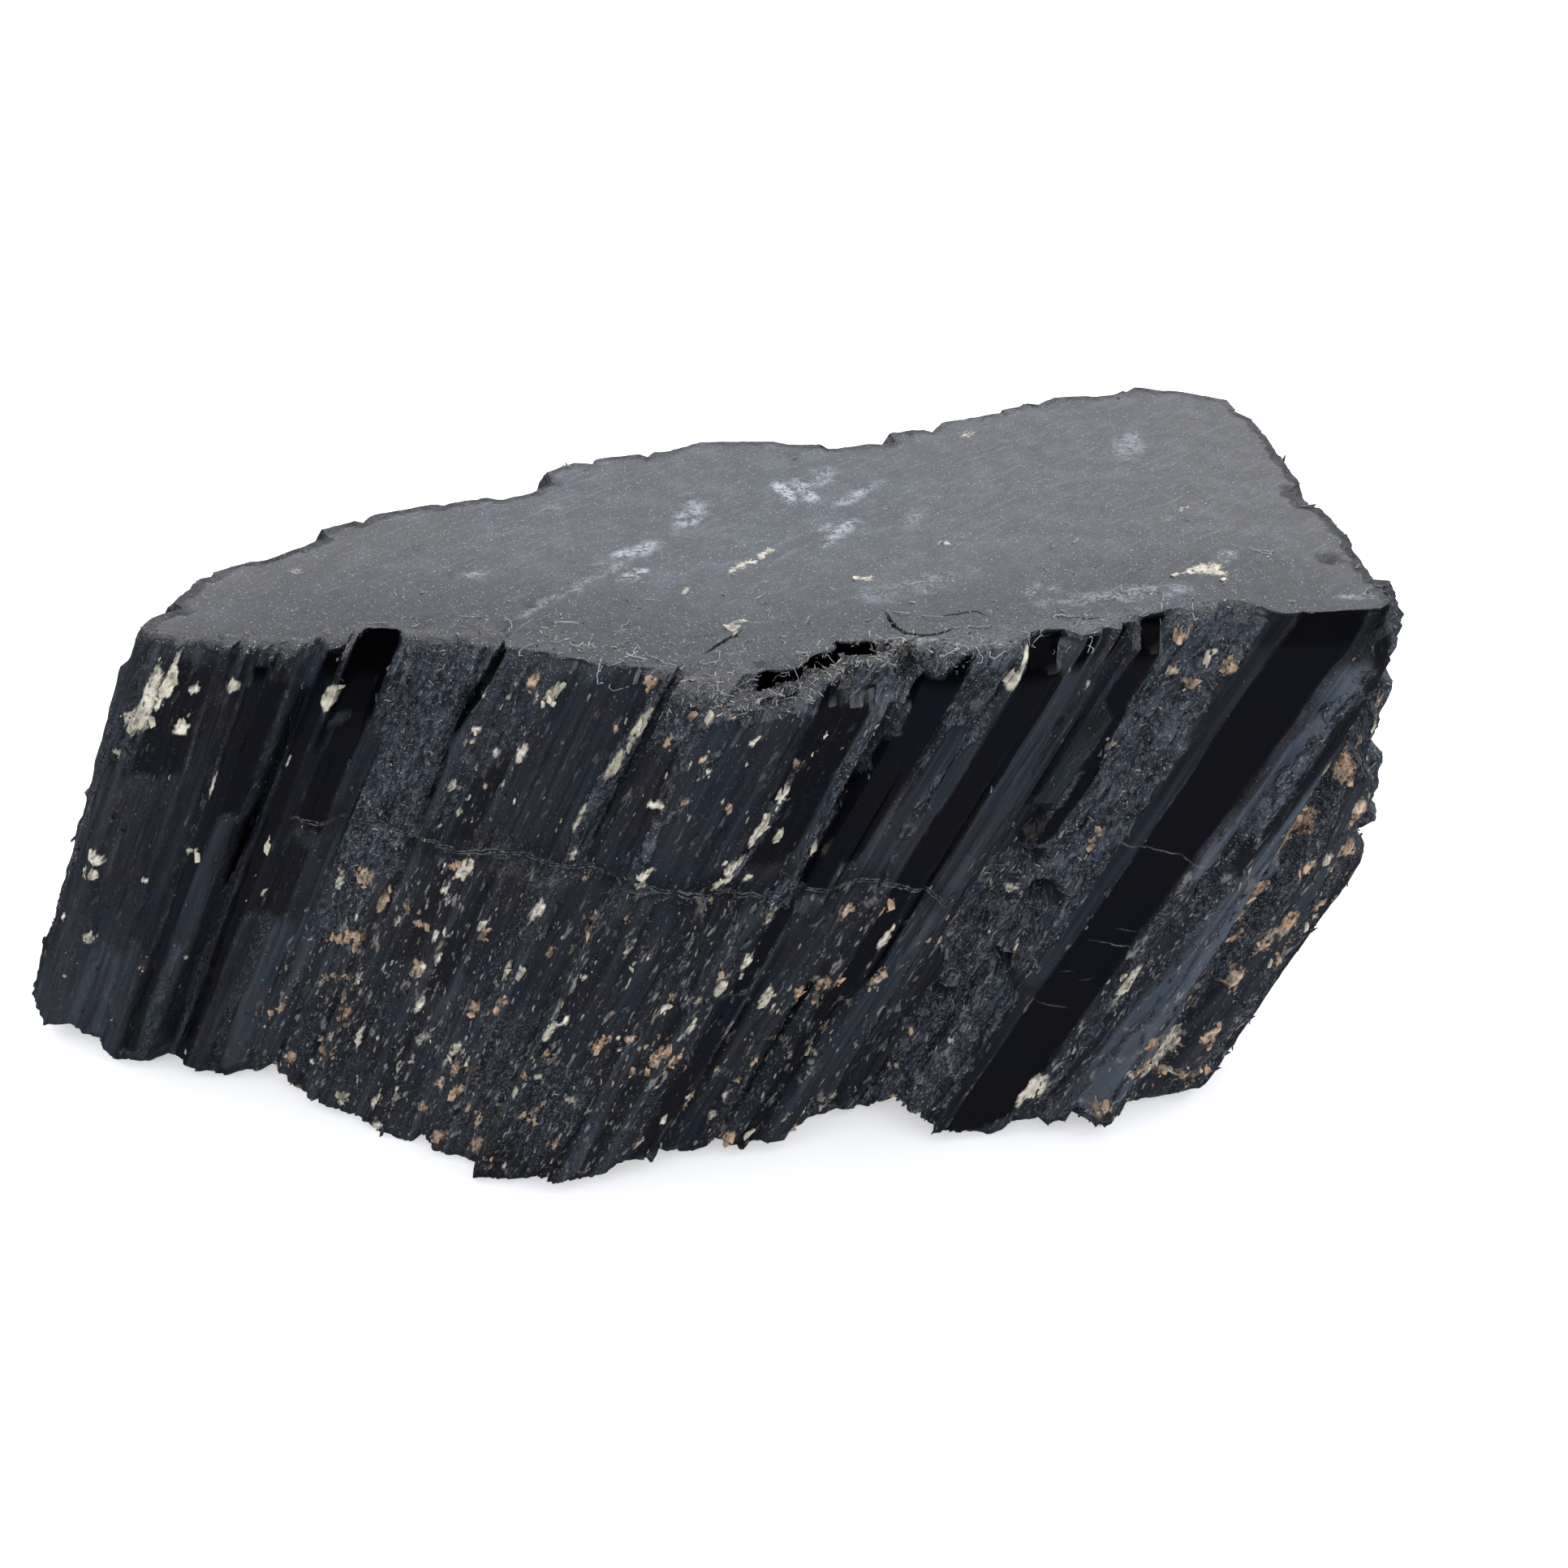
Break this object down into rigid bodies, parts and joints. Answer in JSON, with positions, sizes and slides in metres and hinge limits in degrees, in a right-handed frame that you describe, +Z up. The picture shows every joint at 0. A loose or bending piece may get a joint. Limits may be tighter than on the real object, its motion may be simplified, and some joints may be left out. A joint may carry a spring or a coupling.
{
  "type": "tourmaline crystal",
  "caption": "Chunk of black tourmaline: leaning striated prism columns grown together, with a flat matt broken top, a stepped broken end and a flat base to rest on.",
  "frame": {"origin": "under the middle of the crystal's box, on the surface it rests on", "axes": "+X along the chunk, towards its tall broken end; +Z up, out of the flat broken top; the best face looks towards -Y"},
  "size_m": [0.0946, 0.0484, 0.04],
  "materials": {
    "schorl": "near black tourmaline: glassy striated crystal faces, duller crushed grains between them, matt grey broken top",
    "feldspar": "cream and pale green feldspar and mica flakes set in the crystal faces, dull to pearly",
    "iron_stain": "orange-brown iron-stained grains in the cracks, dull and earthy",
    "lint": "pale dust fibres caught on the rough top"
  },
  "bodies": {
    "root": {"tourmaline_crystal": "schorl"}
  },
  "joints": []
}
